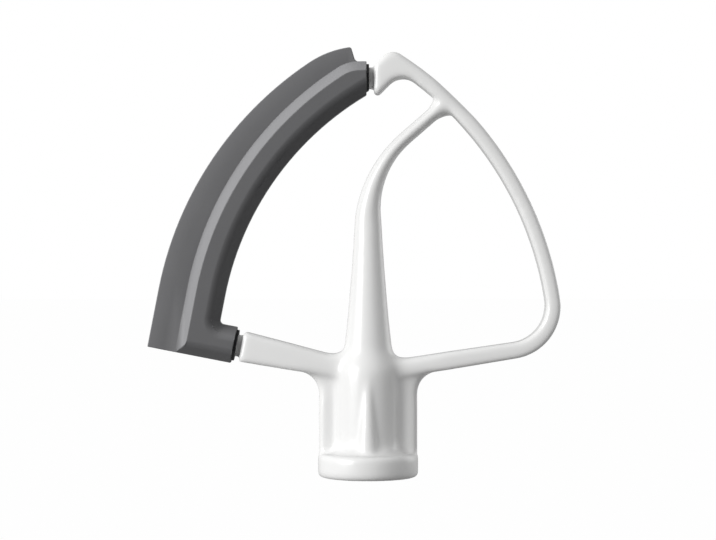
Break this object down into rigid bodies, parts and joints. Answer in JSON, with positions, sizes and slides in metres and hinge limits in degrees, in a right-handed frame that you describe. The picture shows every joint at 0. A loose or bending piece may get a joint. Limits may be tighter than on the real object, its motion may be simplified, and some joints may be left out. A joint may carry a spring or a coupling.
{
  "type": "stand mixer flat beater",
  "caption": "Coated cast flat beater with a fluted hub, open loop and bent centre strut, and a soft edge that wipes the bowl.",
  "frame": {"origin": "on the drive axis, in the end face of the collar where the bore opens", "axes": "+Z along the drive axis from the bore's mouth into the beater, +X from the soft edge towards the solid loop, +Y through the beater's thickness to its back"},
  "size_m": [0.1318, 0.032, 0.1374],
  "materials": {
    "white_coating": "glossy white coating on cast aluminium",
    "black_nylon": "matte black moulding",
    "grey_rubber": "matte soft grey moulding"
  },
  "bodies": {
    "root": {"beater_frame": "white_coating", "edge_carrier": "black_nylon", "flex_edge": "grey_rubber"}
  },
  "joints": []
}
